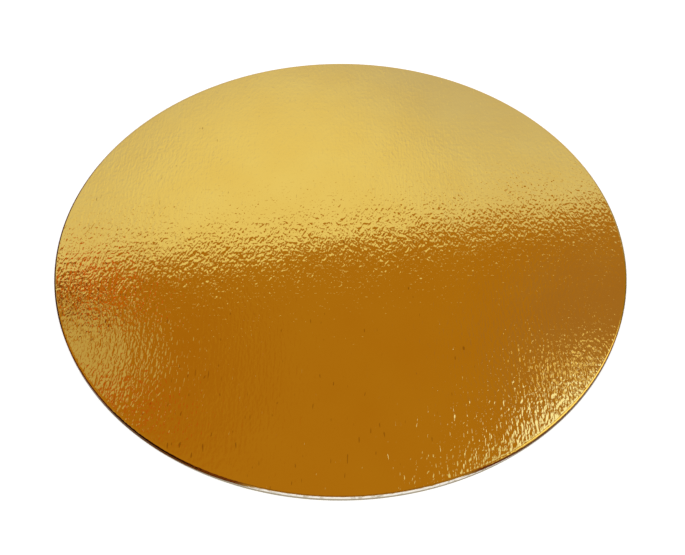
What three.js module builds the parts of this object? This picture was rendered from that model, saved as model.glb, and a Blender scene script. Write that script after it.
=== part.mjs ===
// A round cake board: a paperboard disc with a gold foil face bonded over its top.
// Millimetres, +Z up. The origin is the centre of the underside, which lies on the table.
// Foil and board are cut out together with one blade from the foil side, so the foil rolls
// over at the rim before the cut, and the raw paperboard shows below it.

import * as THREE from "three";

// Driving dimensions
const boardDiameter = 254; // a 10 inch round
const boardThickness = 3; // paperboard and foil together
const foilThickness = 0.12; // metallised film on its backing paper
const rollWidth = 0.9; // how far in from the cut the foil starts to roll over
const rollDrop = 0.5; // how far the roll has sunk where the blade went through

// Fineness of the round forms
const rimSegments = 192;
const rollSteps = 3;

const cutRadius = boardDiameter / 2;
const flatRadius = cutRadius - rollWidth;

const goldFoil = new THREE.MeshStandardMaterial({
  color: 0xdcae45,
  metalness: 1,
  roughness: 0.12,
});

const pulpBoard = new THREE.MeshStandardMaterial({
  color: 0xdedad0,
  metalness: 0,
  roughness: 0.9,
});

// The roll-over as it runs from the flat face out to the cut, faceZ being the height of the
// face. It falls away as a parabola, level where it leaves the face.
function rollOver(faceZ) {
  const points = [];
  for (let step = 0; step <= rollSteps; step++) {
    const run = step / rollSteps;
    points.push(
      new THREE.Vector2(flatRadius + rollWidth * run, faceZ - rollDrop * run * run),
    );
  }
  return points;
}

// Turns a half section, drawn as radius and height from the axis back to the axis, into a round.
// The section runs from the bottom up, so that the faces point out.
function turned(section, material, name) {
  const geometry = new THREE.LatheGeometry(section, rimSegments);
  geometry.rotateX(Math.PI / 2);
  const mesh = new THREE.Mesh(geometry, material);
  mesh.name = name;
  return mesh;
}

// The two faces where foil and board are glued are the same surface.
const gluedFaceZ = boardThickness - foilThickness;

function paperboardDisc() {
  const section = [
    new THREE.Vector2(0, 0),
    new THREE.Vector2(cutRadius, 0),
    ...rollOver(gluedFaceZ).reverse(),
    new THREE.Vector2(0, gluedFaceZ),
  ];
  return turned(section, pulpBoard, "paperboard_disc");
}

function foilFace() {
  const section = [
    new THREE.Vector2(0, gluedFaceZ),
    ...rollOver(gluedFaceZ),
    ...rollOver(boardThickness).reverse(),
    new THREE.Vector2(0, boardThickness),
  ];
  return turned(section, goldFoil, "foil_face");
}

const cakeBoard = new THREE.Group();
cakeBoard.name = "cake_board";
cakeBoard.add(paperboardDisc(), foilFace());

export default cakeBoard;
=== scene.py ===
import math

import bpy
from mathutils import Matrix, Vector


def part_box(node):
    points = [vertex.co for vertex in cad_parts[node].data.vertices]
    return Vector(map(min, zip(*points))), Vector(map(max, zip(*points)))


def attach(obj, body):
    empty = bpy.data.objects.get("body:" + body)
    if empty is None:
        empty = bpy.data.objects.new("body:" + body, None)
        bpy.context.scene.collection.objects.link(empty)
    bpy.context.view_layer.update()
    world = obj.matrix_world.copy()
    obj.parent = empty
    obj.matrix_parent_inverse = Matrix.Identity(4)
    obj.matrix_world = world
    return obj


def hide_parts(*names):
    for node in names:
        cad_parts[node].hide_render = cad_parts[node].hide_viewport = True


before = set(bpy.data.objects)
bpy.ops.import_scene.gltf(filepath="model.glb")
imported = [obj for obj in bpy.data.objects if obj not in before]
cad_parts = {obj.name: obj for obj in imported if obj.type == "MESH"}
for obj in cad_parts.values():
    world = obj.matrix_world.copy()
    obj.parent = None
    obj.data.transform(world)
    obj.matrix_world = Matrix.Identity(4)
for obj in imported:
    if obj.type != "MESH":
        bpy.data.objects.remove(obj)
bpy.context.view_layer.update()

# A round cake board lying on a white table: a disc of pulp board, die-cut, with a sheet of
# gold foil laminated over its top. Blender's metres, so sizes in mm are multiplied by mm.
mm = 0.001
smoothAngle = 35  # degrees: corners sharper than this stay crisp
foilLow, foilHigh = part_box("foil_face")
boardLow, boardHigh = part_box("paperboard_disc")
cutRadius = foilHigh[0]
foilTop = foilHigh[2]
boardTop = boardHigh[2]
rollDrop = boardTop - foilLow[2]


# An sRGB hex colour as the linear numbers that Blender's sockets take
def linear(hexColour):
    channels = [int(hexColour[i:i + 2], 16) / 255 for i in (1, 3, 5)]
    return tuple(c / 12.92 if c <= 0.04045 else ((c + 0.055) / 1.055) ** 2.4 for c in channels) + (1,)


# Adds one node. Inputs are keyed by name or number, and each is a value or a socket to link.
def addNode(tree, kind, settings, inputs):
    node = tree.nodes.new(kind)
    for name, value in settings.items():
        setattr(node, name, value)
    for key, value in inputs.items():
        if isinstance(value, bpy.types.NodeSocket):
            tree.links.new(value, node.inputs[key])
        else:
            node.inputs[key].default_value = value
    return node


def newMaterial(name):
    material = bpy.data.materials.new(name)
    material.use_nodes = True
    material.node_tree.nodes.clear()
    return material


# Puts what is selected in edit mode into a vertex group of its own
def newGroup(piece, name):
    bpy.ops.object.vertex_group_assign_new()
    piece.vertex_groups[-1].name = name


# A flat disc of squares, open in edit mode with its rim selected and all of it in one group
def startDisc(name, rimPoints, radius, height, group):
    bpy.ops.object.select_all(action="DESELECT")
    bpy.ops.mesh.primitive_circle_add(vertices=rimPoints, radius=radius, location=(0, 0, height))
    piece = bpy.context.active_object
    piece.name = name
    bpy.ops.object.transform_apply(location=True, rotation=False, scale=False)
    bpy.ops.object.mode_set(mode="EDIT")
    bpy.ops.mesh.select_mode(type="VERT")
    bpy.ops.mesh.select_all(action="SELECT")
    bpy.ops.mesh.fill_grid(span=rimPoints // 4)
    bpy.ops.mesh.select_all(action="SELECT")
    newGroup(piece, group)
    bpy.ops.mesh.select_mode(type="EDGE")
    bpy.ops.mesh.select_all(action="DESELECT")
    bpy.ops.mesh.select_non_manifold()
    return piece


# Extrudes the selected ring along a section, whose points are (radius, z) and start at the ring.
# The new rings stay in the vertex groups of the one before them.
def extrudeAlong(section):
    for before, after in zip(section, section[1:]):
        bpy.ops.mesh.extrude_edges_move(
            TRANSFORM_OT_translate={"value": (0, 0, after[1] - before[1])})
        ratio = after[0] / before[0]
        bpy.ops.transform.resize(value=(ratio, ratio, 1), center_override=(0, 0, 0))


# Closes the piece with a fan of faces from the selected ring to its centre
def closeDisc():
    bpy.ops.mesh.extrude_edges_move(TRANSFORM_OT_translate={"value": (0, 0, 0)})
    bpy.ops.mesh.merge(type="CENTER")
    bpy.ops.mesh.select_all(action="SELECT")
    bpy.ops.mesh.normals_make_consistent(inside=False)
    bpy.ops.object.mode_set(mode="OBJECT")


# Shallow unevenness that a texture presses into one vertex group: down, or inwards when it goes
# along the normal, and up where the depth is negative. The texture is clouds, or a blend that is
# deepest towards -X, or towards +X when it is turned round. An empty at the place sizes it.
def displaceWith(piece, name, feature, depth, group, direction, stretch=(1, 1, 1),
                 kind="CLOUDS", place=(0, 0, 0), turn=0):
    texture = bpy.data.textures.new(name, kind)
    if kind == "CLOUDS":
        texture.noise_scale = 1
        texture.noise_depth = 1
    else:
        texture.progression = "EASING"
    bpy.ops.object.select_all(action="DESELECT")
    bpy.ops.object.empty_add(location=place, rotation=(0, 0, turn))
    ruler = bpy.context.active_object
    ruler.scale = [feature * s for s in stretch]
    bpy.context.view_layer.update()
    modifier = piece.modifiers.new(name, "DISPLACE")
    modifier.texture = texture
    modifier.texture_coords = "OBJECT"
    modifier.texture_coords_object = ruler
    modifier.direction = direction
    modifier.mid_level = 1
    modifier.strength = depth
    modifier.vertex_group = group
    bpy.context.view_layer.objects.active = piece
    bpy.ops.object.modifier_apply(modifier=modifier.name)
    bpy.data.objects.remove(ruler)
    bpy.data.textures.remove(texture)


def smoothShade(piece):
    bpy.ops.object.select_all(action="DESELECT")
    piece.select_set(True)
    bpy.context.view_layer.objects.active = piece
    bpy.ops.object.shade_smooth_by_angle(angle=math.radians(smoothAngle))


# The foil face

foil = dict(
    rimPoints=1120,  # points round the rim; a quarter of them cross the face each way
    rollWidth=0.9 * mm, rollRings=6,  # the roll-over, which the board's shoulder follows
    glueSink=0.05 * mm,  # how far the glued side is pressed into the board
    waveSize=26 * mm, waveDepth=0.04 * mm,  # slow waves from the damp glue
    dimpleSize=7 * mm, dimpleDepth=0.014 * mm, dimpleStretch=(1, 1.6, 1),  # pulp telegraphing through
    trimSize=2.2 * mm, trimDepth=0.35 * mm,  # how ragged the lower edge is
    dragDepth=1.5 * mm, dragMiddle=-44 * mm, dragReach=28 * mm,  # the blade dragged it down at -X,
    pullDepth=1.2 * mm, pullMiddle=58 * mm, pullReach=18 * mm,  # and less at +X
    lipSize=1.9 * mm, lipDepth=0.42 * mm,  # the foil's outer edge, rubbed off at the front
    lipFront=(0.944, 0.965), lipLean=0.058,  # where, as a share of the radius, and how far towards +X
)
flatRadius = cutRadius - foil["rollWidth"]


# The section of the roll-over: it falls as a parabola from the flat face out to the cut
def rollOver(faceZ):
    runs = [i / foil["rollRings"] for i in range(foil["rollRings"] + 1)]
    return [(flatRadius + foil["rollWidth"] * run, faceZ - rollDrop * run * run) for run in runs]


def makeFoil():
    piece = startDisc("gold_foil", foil["rimPoints"], flatRadius, foilTop, "face")

    # the roll-over, the cut through the foil, and back in along the glued side
    rolled = rollOver(foilTop)
    cutEnd = (cutRadius, foilLow[2])
    glued = rollOver(boardTop - foil["glueSink"])[::-1]
    extrudeAlong(rolled)
    newGroup(piece, "lip")
    extrudeAlong([rolled[-1], cutEnd])
    newGroup(piece, "trim")
    extrudeAlong([cutEnd, glued[1]])
    bpy.ops.object.vertex_group_remove_from(use_all_groups=True)
    extrudeAlong(glued[1:])
    closeDisc()

    # the lip is worn only at the front
    lip = piece.vertex_groups["lip"]
    low, high = foil["lipFront"]
    for vertex in piece.data.vertices:
        if lip.index in [g.group for g in vertex.groups]:
            front = ((foil["lipLean"] * vertex.co.x - vertex.co.y) / cutRadius - low) / (high - low)
            lip.add([vertex.index], min(max(front, 0), 1), "REPLACE")

    displaceWith(piece, "glueWaves", foil["waveSize"], foil["waveDepth"], "face", "Z")
    displaceWith(piece, "pulpDimples", foil["dimpleSize"], foil["dimpleDepth"], "face", "Z",
                 foil["dimpleStretch"])
    displaceWith(piece, "raggedTrim", foil["trimSize"], foil["trimDepth"], "trim", "Z")
    displaceWith(piece, "draggedTrim", foil["dragReach"], foil["dragDepth"], "trim", "Z",
                 kind="BLEND", place=(foil["dragMiddle"], 0, 0))
    displaceWith(piece, "pulledTrim", foil["pullReach"], foil["pullDepth"], "trim", "Z",
                 kind="BLEND", place=(foil["pullMiddle"], 0, 0), turn=math.pi)
    displaceWith(piece, "wornLip", foil["lipSize"], foil["lipDepth"], "lip", "NORMAL")
    smoothShade(piece)
    return piece


# Aluminium foil under gold lacquer, rolled smooth and laminated to paper. It mirrors the room,
# and the paper's pulp shows through as orange peel that breaks the edge of each reflection.
# Levels are those of a noise, between which its pattern comes in.
foilFinish = dict(
    lacquer="#E0B84F", lacquerDeep="#DBAD42", mottleSize=24 * mm,
    roughness=0.03, smudgedRoughness=0.045, smudgeSize=38 * mm, smudgeLevels=(0.35, 0.7),
    rimShadeColour="#6A300E", rimShadeEdgeTint="#D0C6B8",  # painted dark reflection along the rolled rim, and the duller edge tint that keeps it dark seen aslant
    rimShadeWidth=0.25 * mm, rimShadeWander=0.4 * mm, rimShadeWanderSize=1.4 * mm,
    rimShadeExtra=0.3 * mm, rimShadeExtraEnd=(45 * mm, 70 * mm),  # wider, up to this X
    rimShadeLeft=0.55, rimShadeFade=(0.93, 0.955),  # what the worn lip leaves of it, and where
    darkSpotLean=(0.4, 0.5, 0), darkSpotLevels=(0.155, 0.11), darkSpotStrength=0.4,
    farRelief=0.4, farReliefStart=(50 * mm, 85 * mm),  # what is left of the relief past this Y
    peelSize=1.45 * mm, peelDepth=0.055 * mm, peelStretch=(1, 0.5, 1),  # longer along the roll
    peelPatch=14 * mm, patchLevels=(0.3, 0.7), patchStrength=(0.4, 1.3),  # deeper in patches
    wrinkleSize=1.5 * mm, wrinkleDepth=0.054 * mm,
    streakSize=0.85 * mm, streakLength=8 * mm, streakDepth=0.03 * mm,
    speckSize=1.0 * mm, speckDepth=0.006 * mm, speckLevels=(0.66, 0.8),
    dashSize=0.9 * mm, dashLength=4.5 * mm, dashDepth=0.016 * mm, dashLevels=(0.745, 0.86),
    dashShift=(0.31, 0.17, 0),  # moves the dashes off the streaks
)


# The relief in the foil. Gives its normal, and the noise that the dashes come from.
def foilRelief(tree, place, axes):
    look = foilFinish

    # flatter towards +Y
    relief = addNode(tree, "ShaderNodeMapRange", {"interpolation_type": "SMOOTHSTEP"}, {
        "Value": axes.outputs["Y"], "From Min": look["farReliefStart"][0],
        "From Max": look["farReliefStart"][1], "To Min": 1, "To Max": look["farRelief"]}).outputs[0]

    # orange peel
    longer = addNode(tree, "ShaderNodeMapping", {}, {"Vector": place, "Scale": look["peelStretch"]})
    peel = addNode(tree, "ShaderNodeTexNoise", {}, {
        "Vector": longer.outputs[0], "Scale": 1 / look["peelSize"], "Detail": 1, "Roughness": 0.4})
    peelLevel = addNode(tree, "ShaderNodeMath", {"operation": "SUBTRACT"}, {0: peel.outputs[0], 1: 0.5})
    patch = addNode(tree, "ShaderNodeTexNoise", {}, {
        "Vector": place, "Scale": 1 / look["peelPatch"], "Detail": 2})
    rougher = addNode(tree, "ShaderNodeMapRange", {}, {
        "Value": patch.outputs[0],
        "From Min": look["patchLevels"][0], "From Max": look["patchLevels"][1],
        "To Min": look["patchStrength"][0], "To Max": look["patchStrength"][1]})
    patchy = addNode(tree, "ShaderNodeMath", {"operation": "MULTIPLY"}, {
        0: peelLevel.outputs[0], 1: rougher.outputs[0]})
    peelBump = addNode(tree, "ShaderNodeBump", {}, {
        "Height": patchy.outputs[0], "Strength": relief, "Distance": look["peelDepth"]})

    # small wrinkles: the folds in a noise where it crosses its middle value
    fold = addNode(tree, "ShaderNodeTexNoise", {}, {
        "Vector": longer.outputs[0], "Scale": 1 / look["wrinkleSize"], "Detail": 0.5, "Roughness": 0.5})
    foldLevel = addNode(tree, "ShaderNodeMath", {"operation": "SUBTRACT"}, {0: fold.outputs[0], 1: 0.5})
    wrinkle = addNode(tree, "ShaderNodeMath", {"operation": "ABSOLUTE"}, {0: foldLevel.outputs[0]})
    wrinkleBump = addNode(tree, "ShaderNodeBump", {}, {
        "Height": wrinkle.outputs[0], "Strength": relief, "Distance": look["wrinkleDepth"],
        "Normal": peelBump.outputs[0]})

    # fine lines along the roll the foil came off, which runs along Y
    along = addNode(tree, "ShaderNodeMapping", {}, {
        "Vector": place, "Scale": (1, look["streakSize"] / look["streakLength"], 1)})
    streak = addNode(tree, "ShaderNodeTexNoise", {}, {
        "Vector": along.outputs[0], "Scale": 1 / look["streakSize"], "Detail": 1, "Roughness": 0.4})
    streakBump = addNode(tree, "ShaderNodeBump", {}, {
        "Height": streak.outputs[0], "Strength": relief, "Distance": look["streakDepth"],
        "Normal": wrinkleBump.outputs[0]})

    # pinhead specks
    speck = addNode(tree, "ShaderNodeTexNoise", {}, {
        "Vector": place, "Scale": 1 / look["speckSize"], "Detail": 0})
    speckOnly = addNode(tree, "ShaderNodeMapRange", {"interpolation_type": "SMOOTHSTEP"}, {
        "Value": speck.outputs[0],
        "From Min": look["speckLevels"][0], "From Max": look["speckLevels"][1]})
    speckBump = addNode(tree, "ShaderNodeBump", {}, {
        "Height": speckOnly.outputs[0], "Strength": 1, "Distance": look["speckDepth"],
        "Normal": streakBump.outputs[0]})

    # sparse dashes where a thick fibre lies under the foil
    dashAlong = addNode(tree, "ShaderNodeMapping", {}, {
        "Vector": place, "Location": look["dashShift"],
        "Scale": (1, look["dashSize"] / look["dashLength"], 1)})
    dash = addNode(tree, "ShaderNodeTexNoise", {}, {
        "Vector": dashAlong.outputs[0], "Scale": 1 / look["dashSize"], "Detail": 0})
    dashOnly = addNode(tree, "ShaderNodeMapRange", {"interpolation_type": "SMOOTHSTEP"}, {
        "Value": dash.outputs[0],
        "From Min": look["dashLevels"][0], "From Max": look["dashLevels"][1]})
    dashBump = addNode(tree, "ShaderNodeBump", {}, {
        "Height": dashOnly.outputs[0], "Strength": 1, "Distance": look["dashDepth"],
        "Normal": speckBump.outputs[0]})
    return dashBump.outputs[0], dash.outputs[0]


# How much of the painted dark reflection along the rolled rim shows, which has a ragged inner side
def foilRimShade(tree, place, axes):
    look = foilFinish
    inPlane = addNode(tree, "ShaderNodeVectorMath", {"operation": "MULTIPLY"}, {0: place, 1: (1, 1, 0)})
    radius = addNode(tree, "ShaderNodeVectorMath", {"operation": "LENGTH"}, {0: inPlane.outputs[0]})
    ragged = addNode(tree, "ShaderNodeTexNoise", {}, {
        "Vector": place, "Scale": 1 / look["rimShadeWanderSize"], "Detail": 2})
    wandering = addNode(tree, "ShaderNodeMath", {"operation": "MULTIPLY_ADD"}, {
        0: ragged.outputs[0], 1: look["rimShadeWander"], 2: radius.outputs["Value"]})
    extra = addNode(tree, "ShaderNodeMapRange", {"interpolation_type": "SMOOTHSTEP"}, {
        "Value": axes.outputs["X"], "From Min": look["rimShadeExtraEnd"][0],
        "From Max": look["rimShadeExtraEnd"][1], "To Min": look["rimShadeExtra"], "To Max": 0})
    widened = addNode(tree, "ShaderNodeMath", {"operation": "ADD"}, {
        0: wandering.outputs[0], 1: extra.outputs[0]})
    rimShadeStart = cutRadius - look["rimShadeWidth"] + look["rimShadeWander"] / 2
    rolled = addNode(tree, "ShaderNodeMapRange", {"interpolation_type": "SMOOTHSTEP"}, {
        "Value": widened.outputs[0], "From Min": rimShadeStart,
        "From Max": rimShadeStart + look["rimShadeWidth"] / 2})

    # at the front, where the lip is worn away, less of the painted dark reflection is laid on
    frontSide = addNode(tree, "ShaderNodeVectorMath", {"operation": "DOT_PRODUCT"}, {
        0: place, 1: (foil["lipLean"] / cutRadius, -1 / cutRadius, 0)})
    rimShadeFrontFade = addNode(tree, "ShaderNodeMapRange", {"interpolation_type": "SMOOTHSTEP"}, {
        "Value": frontSide.outputs["Value"], "From Min": look["rimShadeFade"][0],
        "From Max": look["rimShadeFade"][1], "To Min": 1, "To Max": look["rimShadeLeft"]})
    return addNode(tree, "ShaderNodeMath", {"operation": "MULTIPLY"}, {
        0: rolled.outputs[0], 1: rimShadeFrontFade.outputs[0]}).outputs[0]


def foilMaterial():
    look = foilFinish
    material = newMaterial("gold_lacquered_aluminium_foil_laminated")
    tree = material.node_tree
    place = addNode(tree, "ShaderNodeTexCoord", {}, {}).outputs["Object"]
    axes = addNode(tree, "ShaderNodeSeparateXYZ", {}, {0: place})
    normal, dashes = foilRelief(tree, place, axes)
    rimShade = foilRimShade(tree, place, axes)

    # lacquer a little deeper in some places
    mottle = addNode(tree, "ShaderNodeTexNoise", {}, {
        "Vector": place, "Scale": 1 / look["mottleSize"], "Detail": 3})
    lacquer = addNode(tree, "ShaderNodeMix", {"data_type": "RGBA"}, {
        0: mottle.outputs[0], 6: linear(look["lacquer"]), 7: linear(look["lacquerDeep"])})

    # sparse dark spots between the dashes, in the colour of the painted rim reflection, more of them
    # towards the front left
    darkSpotSide = addNode(tree, "ShaderNodeVectorMath", {"operation": "DOT_PRODUCT"}, {
        0: place, 1: look["darkSpotLean"]})
    nearFront = addNode(tree, "ShaderNodeMath", {"operation": "ADD"}, {
        0: darkSpotSide.outputs["Value"], 1: dashes})
    darkSpots = addNode(tree, "ShaderNodeMapRange", {"interpolation_type": "SMOOTHSTEP"}, {
        "Value": nearFront.outputs[0], "From Min": look["darkSpotLevels"][0],
        "From Max": look["darkSpotLevels"][1], "To Max": look["darkSpotStrength"]})
    # the painted dark reflection on the rim and the dark spots, which darken the lacquer below
    rimShadeAndSpots = addNode(tree, "ShaderNodeMath", {"operation": "MAXIMUM"}, {
        0: rimShade, 1: darkSpots.outputs[0]})
    colour = addNode(tree, "ShaderNodeMix", {"data_type": "RGBA"}, {
        0: rimShadeAndSpots.outputs[0], 6: lacquer.outputs[2], 7: linear(look["rimShadeColour"])})

    # the painted dark reflection on the rim stays brown where it is seen aslant, by a duller edge tint
    edgeTint = addNode(tree, "ShaderNodeMix", {"data_type": "RGBA"}, {
        0: rimShade, 6: (1, 1, 1, 1), 7: linear(look["rimShadeEdgeTint"])})

    smudge = addNode(tree, "ShaderNodeTexNoise", {}, {
        "Vector": place, "Scale": 1 / look["smudgeSize"], "Detail": 2})
    sheen = addNode(tree, "ShaderNodeMapRange", {}, {
        "Value": smudge.outputs[0],
        "From Min": look["smudgeLevels"][0], "From Max": look["smudgeLevels"][1],
        "To Min": look["roughness"], "To Max": look["smudgedRoughness"]})
    shader = addNode(tree, "ShaderNodeBsdfPrincipled", {}, {
        "Base Color": colour.outputs[2], "Metallic": 1, "Roughness": sheen.outputs[0],
        "Specular Tint": edgeTint.outputs[2], "Normal": normal})
    addNode(tree, "ShaderNodeOutputMaterial", {}, {"Surface": shader.outputs[0]})
    return material


# The board

board = dict(
    rimPoints=960,
    edgeRings=12,  # rings up the cut edge
    footRound=0.15 * mm,  # the lower corner, rubbed
    footBulge=0.3,  # how far in from the square corner its middle is, as a share of footRound
    tuck=0.03 * mm,  # how far the top corner stands back behind the foil
    fluffSize=1.1 * mm, fluffDepth=0.09 * mm, fluffStretch=(1, 1, 0.6),  # fibres standing up on the cut
    plySize=14 * mm, plyDepth=0.05 * mm, plyStretch=(1, 1, 0.04),  # plies that stand out or back
    underSize=9 * mm, underDepth=0.04 * mm,
)


def makeBoard():
    footRound = board["footRound"]
    footIn = footRound * board["footBulge"]
    footTop = boardLow[2] + footRound
    piece = startDisc("pulp_board", board["rimPoints"], cutRadius - footRound, boardLow[2], "under")

    # the rubbed corner, the cut edge, and the shoulder under the foil
    shoulder = rollOver(boardTop)[::-1]
    shoulder[0] = (cutRadius - board["tuck"], shoulder[0][1])
    step = (shoulder[0][1] - footTop) / board["edgeRings"]
    foot = (cutRadius - footRound, boardLow[2])
    rubbed = (cutRadius - footIn, boardLow[2] + footIn)
    cut = [(cutRadius, footTop + step * i) for i in range(board["edgeRings"])] + [shoulder[0]]
    extrudeAlong([foot, rubbed])
    bpy.ops.object.vertex_group_remove_from(use_all_groups=True)
    extrudeAlong([rubbed, cut[0], cut[1]])
    newGroup(piece, "cut")
    extrudeAlong(cut[1:])
    bpy.ops.object.vertex_group_remove_from(use_all_groups=True)
    extrudeAlong(shoulder)
    closeDisc()

    # upward and inward only
    displaceWith(piece, "pulpHollows", board["underSize"], -board["underDepth"], "under", "Z")
    displaceWith(piece, "fluff", board["fluffSize"], board["fluffDepth"], "cut", "NORMAL",
                 board["fluffStretch"])
    displaceWith(piece, "plies", board["plySize"], board["plyDepth"], "cut", "NORMAL",
                 board["plyStretch"])
    smoothShade(piece)
    return piece


# Solid board of pressed waste-paper pulp with a white ply under the foil, die-cut and left raw.
# It is matt and soft, white over grey at the cut, with fibres and flecks of ink in the grey.
boardFinish = dict(
    whitePly="#F6F0E6", whiteDark="#C4B9A4", frayedSize=2.2 * mm, frayedLevels=(0.5, 0.66),
    greyPly="#B8AD94", greyDark="#938770",
    plyLine=1.25 * mm, plyBlur=0.2 * mm,  # the height where the white starts
    # the ply line's lean is painted light on the cut: whiter towards +X
    plyWander=0.25 * mm, plyWanderSize=6 * mm, plyLitSideLean=0.004,
    fibreSize=0.5 * mm, fibreLength=2.4 * mm, fibreDepth=0.03 * mm, fibreFlatness=2,
    fleck="#6E6556", fleckSize=0.9 * mm, fleckLevels=(0.66, 0.76), fleckStrength=0.6,
    roughness=0.9,
)


def boardMaterial():
    look = boardFinish
    material = newMaterial("solid_pulp_board_die_cut")
    tree = material.node_tree
    place = addNode(tree, "ShaderNodeTexCoord", {}, {}).outputs["Object"]
    axes = addNode(tree, "ShaderNodeSeparateXYZ", {}, {0: place})

    # the line between the plies wanders, and lies lower towards +X: painted light, which makes the cut
    # whiter towards +X and greyer towards -X
    wander = addNode(tree, "ShaderNodeTexNoise", {}, {
        "Vector": place, "Scale": 1 / look["plyWanderSize"], "Detail": 4, "Roughness": 0.7})
    wandered = addNode(tree, "ShaderNodeMath", {"operation": "MULTIPLY_ADD"}, {
        0: wander.outputs[0], 1: look["plyWander"], 2: axes.outputs["Z"]})
    plyLineAndLitSide = addNode(tree, "ShaderNodeMath", {"operation": "MULTIPLY_ADD"}, {
        0: axes.outputs["X"], 1: look["plyLitSideLean"], 2: wandered.outputs[0]})
    inWhite = addNode(tree, "ShaderNodeMapRange", {"interpolation_type": "SMOOTHSTEP"}, {
        "Value": plyLineAndLitSide.outputs[0],
        "From Min": look["plyLine"], "From Max": look["plyLine"] + look["plyBlur"]})

    # fibres lie flat, so on the cut they show as short level lines
    lying = look["fibreSize"] / look["fibreLength"]
    level = addNode(tree, "ShaderNodeMapping", {}, {
        "Vector": place, "Scale": (lying, lying, look["fibreFlatness"])})
    fibre = addNode(tree, "ShaderNodeTexNoise", {}, {
        "Vector": level.outputs[0], "Scale": 1 / look["fibreSize"], "Detail": 4, "Roughness": 0.6})
    grey = addNode(tree, "ShaderNodeMix", {"data_type": "RGBA"}, {
        0: fibre.outputs[0], 6: linear(look["greyPly"]), 7: linear(look["greyDark"])})
    fleck = addNode(tree, "ShaderNodeTexNoise", {}, {
        "Vector": place, "Scale": 1 / look["fleckSize"], "Detail": 2})
    fleckOnly = addNode(tree, "ShaderNodeMapRange", {"interpolation_type": "SMOOTHSTEP"}, {
        "Value": fleck.outputs[0], "From Min": look["fleckLevels"][0],
        "From Max": look["fleckLevels"][1], "To Max": look["fleckStrength"]})
    flecked = addNode(tree, "ShaderNodeMix", {"data_type": "RGBA"}, {
        0: fleckOnly.outputs[0], 6: grey.outputs[2], 7: linear(look["fleck"])})

    # the white ply is frayed, with darker pulp showing in the gaps
    frayed = addNode(tree, "ShaderNodeTexNoise", {}, {
        "Vector": place, "Scale": 1 / look["frayedSize"], "Detail": 3, "Roughness": 0.6})
    frayedOnly = addNode(tree, "ShaderNodeMapRange", {}, {
        "Value": frayed.outputs[0],
        "From Min": look["frayedLevels"][0], "From Max": look["frayedLevels"][1]})
    white = addNode(tree, "ShaderNodeMix", {"data_type": "RGBA"}, {
        0: frayedOnly.outputs[0], 6: linear(look["whitePly"]), 7: linear(look["whiteDark"])})
    colour = addNode(tree, "ShaderNodeMix", {"data_type": "RGBA"}, {
        0: inWhite.outputs[0], 6: flecked.outputs[2], 7: white.outputs[2]})

    nap = addNode(tree, "ShaderNodeBump", {}, {
        "Height": fibre.outputs[0], "Strength": 1, "Distance": look["fibreDepth"]})
    shader = addNode(tree, "ShaderNodeBsdfPrincipled", {}, {
        "Base Color": colour.outputs[2], "Roughness": look["roughness"], "Normal": nap.outputs[0]})
    addNode(tree, "ShaderNodeOutputMaterial", {}, {"Surface": shader.outputs[0]})
    return material


# The table: white paint, with a soft shadow under the board's edge. It is lifted a little, for
# the camera alone, so that it comes out as white as the space behind it.

table = dict(size=16, gap=0.05 * mm, colour="#F2F2F2", lift=0.34)


def makeTable():
    bpy.ops.object.select_all(action="DESELECT")
    bpy.ops.mesh.primitive_plane_add(size=table["size"], location=(0, 0, boardLow[2] - table["gap"]))
    floor = bpy.context.active_object
    floor.name = "table"
    material = newMaterial("white_table")
    tree = material.node_tree
    seen = addNode(tree, "ShaderNodeLightPath", {}, {}).outputs["Is Camera Ray"]
    lift = addNode(tree, "ShaderNodeMath", {"operation": "MULTIPLY"}, {0: seen, 1: table["lift"]})
    paint = addNode(tree, "ShaderNodeBsdfDiffuse", {}, {"Color": linear(table["colour"])})
    glow = addNode(tree, "ShaderNodeEmission", {}, {"Strength": lift.outputs[0]})
    both = addNode(tree, "ShaderNodeAddShader", {}, {0: paint.outputs[0], 1: glow.outputs[0]})
    addNode(tree, "ShaderNodeOutputMaterial", {}, {"Surface": both.outputs[0]})
    floor.data.materials.append(material)


# The room, which the foil mirrors: a pale wall behind the board, up to a level edge, and a warm
# dim ceiling over it. Angles are in degrees, a bearing of 0 being +Y and 90 being +X. Colours
# are amounts of light and not hex, because lamps and windows are brighter than white.

room = dict(
    wallEdge=48.25, wallBearing=-9, edgeSoftness=0.004,
    wallLow=(0.75, 0.87, 1.85), wallHigh=(0.98, 1.09, 1.63), wallHeights=(36, 47),
    glow=(1.09, 1.22, 1.65), glowBearing=-5, glowHeight=47, glowWidth=12,  # the brightest part of the wall
    horizon=(0.95, 0.92, 0.82), dadoHeights=(26, 36),  # the low part of every wall
    ceiling=(0.565, 0.325, 0.052),
    behind=(0.5, 0.29, 0.06), backEdge=45, backSoftness=0.3,  # the ceiling and its edge at -Y
    backTurn=(0.2, -0.25),  # the Y of a direction, over which the one ceiling turns into the other
    fill=0.72,  # what matt surfaces get from the room
)

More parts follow.
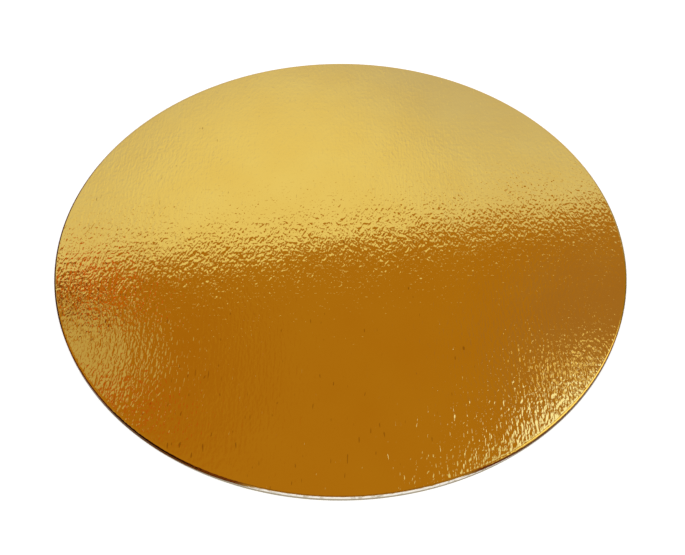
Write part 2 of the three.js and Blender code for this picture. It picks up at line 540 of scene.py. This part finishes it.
# What else the foil mirrors, each a round patch that is full out to inner and gone by outer
patches = [
    dict(bearing=245, height=26, inner=13, outer=20, colour=(0.1, 0.042, 0.02)),  # doorway
    dict(bearing=-53, height=15, inner=17, outer=25, colour=(0.12, 0.05, 0.02)),  # dark corners
    dict(bearing=53, height=15, inner=15, outer=24, colour=(0.3, 0.27, 0.12)),
    dict(bearing=26, height=51, inner=0, outer=8.5, colour=(0.49, 0.3, 0.17)),  # dimmer ceiling
    dict(bearing=-20, height=54, inner=3, outer=8, colour=(0.53, 0.28, 0.04)),  # redder ceiling
    dict(bearing=-22.5, height=48.6, inner=0.9, outer=1.9, colour=(0.72, 0.2, 0.02)),  # lamp shade
    dict(bearing=-25.6, height=51.8, inner=2.6, outer=2.95, colour=(0.7, 0.68, 0.76)),
    dict(bearing=-23.2, height=55.7, inner=0.5, outer=1.8, colour=(0.6, 0.19, 0.03)),
    dict(bearing=-25.5, height=48.5, inner=0.6, outer=1.6, colour=(0.28, 0.1, 0.03)),
    dict(bearing=24, height=53.4, inner=0.9, outer=1.3, colour=(1.1, 1.1, 1.4)),  # skylight
    dict(bearing=28.5, height=57.3, inner=3.0, outer=3.8, colour=(1.35, 1.8, 4.6)),
    dict(bearing=23.5, height=61.5, inner=2.2, outer=3.0, colour=(1.0, 1.2, 2.2)),
    dict(bearing=82, height=45, inner=16, outer=22, colour=(1.6, 1.8, 2.4)),  # window at the side
]


# A direction into the room, of length 1
def pointAt(bearing, height):
    a = math.radians(bearing)
    h = math.radians(height)
    return Vector((math.sin(a) * math.cos(h), math.cos(a) * math.cos(h), math.sin(h)))


# The Z of such a direction
def rise(height):
    return math.sin(math.radians(height))


# 1 inside a round patch of the room and 0 outside it
def roundPatch(tree, ray, middle, inner, outer):
    near = addNode(tree, "ShaderNodeVectorMath", {"operation": "DOT_PRODUCT"}, {0: ray, 1: middle})
    inside = addNode(tree, "ShaderNodeMapRange", {"interpolation_type": "SMOOTHSTEP"}, {
        "Value": near.outputs["Value"], "From Min": math.cos(math.radians(outer)),
        "From Max": math.cos(math.radians(inner))})
    return inside.outputs[0]


def makeRoom():
    world = bpy.data.worlds.new("room")
    bpy.context.scene.world = world
    world.use_nodes = True
    tree = world.node_tree
    tree.nodes.clear()
    ray = addNode(tree, "ShaderNodeTexCoord", {}, {}).outputs["Generated"]
    axes = addNode(tree, "ShaderNodeSeparateXYZ", {}, {0: ray})

    # the wall, with its low part and its glow
    wallRamp = addNode(tree, "ShaderNodeMapRange", {"interpolation_type": "SMOOTHSTEP"}, {
        "Value": axes.outputs["Z"], "From Min": rise(room["wallHeights"][0]),
        "From Max": rise(room["wallHeights"][1])})
    wall = addNode(tree, "ShaderNodeMix", {"data_type": "RGBA"}, {
        0: wallRamp.outputs[0], 6: (*room["wallLow"], 1), 7: (*room["wallHigh"], 1)})
    aboveDado = addNode(tree, "ShaderNodeMapRange", {"interpolation_type": "SMOOTHSTEP"}, {
        "Value": axes.outputs["Z"], "From Min": rise(room["dadoHeights"][0]),
        "From Max": rise(room["dadoHeights"][1])})
    wall = addNode(tree, "ShaderNodeMix", {"data_type": "RGBA"}, {
        0: aboveDado.outputs[0], 6: (*room["horizon"], 1), 7: wall.outputs[2]})
    glowMiddle = pointAt(room["glowBearing"], room["glowHeight"])
    wall = addNode(tree, "ShaderNodeMix", {"data_type": "RGBA"}, {
        0: roundPatch(tree, ray, glowMiddle, 0, room["glowWidth"]),
        6: wall.outputs[2], 7: (*room["glow"], 1)})

    # the ceiling, which at -Y comes down to the back wall
    overBackWall = addNode(tree, "ShaderNodeMapRange", {"interpolation_type": "SMOOTHSTEP"}, {
        "Value": axes.outputs["Z"], "From Min": rise(room["backEdge"] - room["backSoftness"]),
        "From Max": rise(room["backEdge"] + room["backSoftness"])})
    behind = addNode(tree, "ShaderNodeMix", {"data_type": "RGBA"}, {
        0: overBackWall.outputs[0], 6: (*room["horizon"], 1), 7: (*room["behind"], 1)})
    turned = addNode(tree, "ShaderNodeMapRange", {"interpolation_type": "SMOOTHSTEP"}, {
        "Value": axes.outputs["Y"], "From Min": room["backTurn"][0], "From Max": room["backTurn"][1]})
    farRoom = addNode(tree, "ShaderNodeMix", {"data_type": "RGBA"}, {
        0: turned.outputs[0], 6: (*room["ceiling"], 1), 7: behind.outputs[2]})

    # the wall's edge is level and straight, so it lies in one plane with the board's centre
    towards = pointAt(room["wallBearing"], 0)
    edge = pointAt(room["wallBearing"], room["wallEdge"])
    across = towards.cross(Vector((0, 0, 1)))
    past = across.cross(edge).normalized()
    side = addNode(tree, "ShaderNodeVectorMath", {"operation": "DOT_PRODUCT"}, {0: ray, 1: past})
    overEdge = addNode(tree, "ShaderNodeMapRange", {"interpolation_type": "SMOOTHSTEP"}, {
        "Value": side.outputs["Value"], "From Min": -room["edgeSoftness"],
        "From Max": room["edgeSoftness"]})
    seen = addNode(tree, "ShaderNodeMix", {"data_type": "RGBA"}, {
        0: overEdge.outputs[0], 6: wall.outputs[2], 7: farRoom.outputs[2]}).outputs[2]

    for patch in patches:
        middle = pointAt(patch["bearing"], patch["height"])
        inPatch = roundPatch(tree, ray, middle, patch["inner"], patch["outer"])
        seen = addNode(tree, "ShaderNodeMix", {"data_type": "RGBA"}, {
            0: inPatch, 6: seen, 7: (*patch["colour"], 1)}).outputs[2]

    # mirrors show the room, the camera sees white, and matt surfaces get an even fill
    path = addNode(tree, "ShaderNodeLightPath", {}, {})
    mirrored = addNode(tree, "ShaderNodeMath", {"operation": "MAXIMUM"}, {
        0: path.outputs["Is Glossy Ray"], 1: path.outputs["Is Transmission Ray"]})
    fill = (room["fill"],) * 3 + (1,)
    lit = addNode(tree, "ShaderNodeMix", {"data_type": "RGBA"}, {
        0: mirrored.outputs[0], 6: fill, 7: seen})
    shown = addNode(tree, "ShaderNodeMix", {"data_type": "RGBA"}, {
        0: path.outputs["Is Camera Ray"], 6: lit.outputs[2], 7: (1, 1, 1, 1)})
    background = addNode(tree, "ShaderNodeBackground", {}, {"Color": shown.outputs[2]})
    addNode(tree, "ShaderNodeOutputWorld", {}, {"Surface": background.outputs[0]})


# One large softbox over the table, which matt surfaces see and the foil doesn't
softbox = dict(bearing=180, height=54, distance=1.7, size=1.2, energy=10.5)


def makeSoftbox():
    bpy.ops.object.select_all(action="DESELECT")
    place = pointAt(softbox["bearing"], softbox["height"]) * softbox["distance"]
    bpy.ops.object.light_add(type="AREA", location=place)
    lamp = bpy.context.active_object
    lamp.name = "softbox"
    lamp.data.shape = "SQUARE"
    lamp.data.size = softbox["size"]
    lamp.data.energy = softbox["energy"]
    lamp.rotation_euler = place.to_track_quat("Z", "Y").to_euler()
    lamp.visible_glossy = False


# A 50 mm lens looking down at a point just in front of the middle
view = dict(aim=(0.9 * mm, -21.3 * mm, 1.5 * mm), elevation=50.3, distance=417 * mm, lens=50, sensor=36)


def makeCamera():
    bpy.ops.object.select_all(action="DESELECT")
    aim = Vector(view["aim"])
    back = pointAt(180, view["elevation"])
    bpy.ops.object.camera_add(location=aim + back * view["distance"])
    camera = bpy.context.active_object
    camera.rotation_euler = back.to_track_quat("Z", "Y").to_euler()
    camera.data.lens = view["lens"]
    camera.data.sensor_width = view["sensor"]
    bpy.context.scene.camera = camera
    bpy.context.scene.view_settings.view_transform = "Standard"


foilPiece = makeFoil()
foilPiece.data.materials.append(foilMaterial())
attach(foilPiece, "root")
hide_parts("foil_face")
print("foil made:", len(foilPiece.data.polygons), "faces")

boardPiece = makeBoard()
boardPiece.data.materials.append(boardMaterial())
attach(boardPiece, "root")
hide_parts("paperboard_disc")
print("board made:", len(boardPiece.data.polygons), "faces")

makeTable()
makeRoom()
makeSoftbox()
makeCamera()
print("room, lamp and camera set")
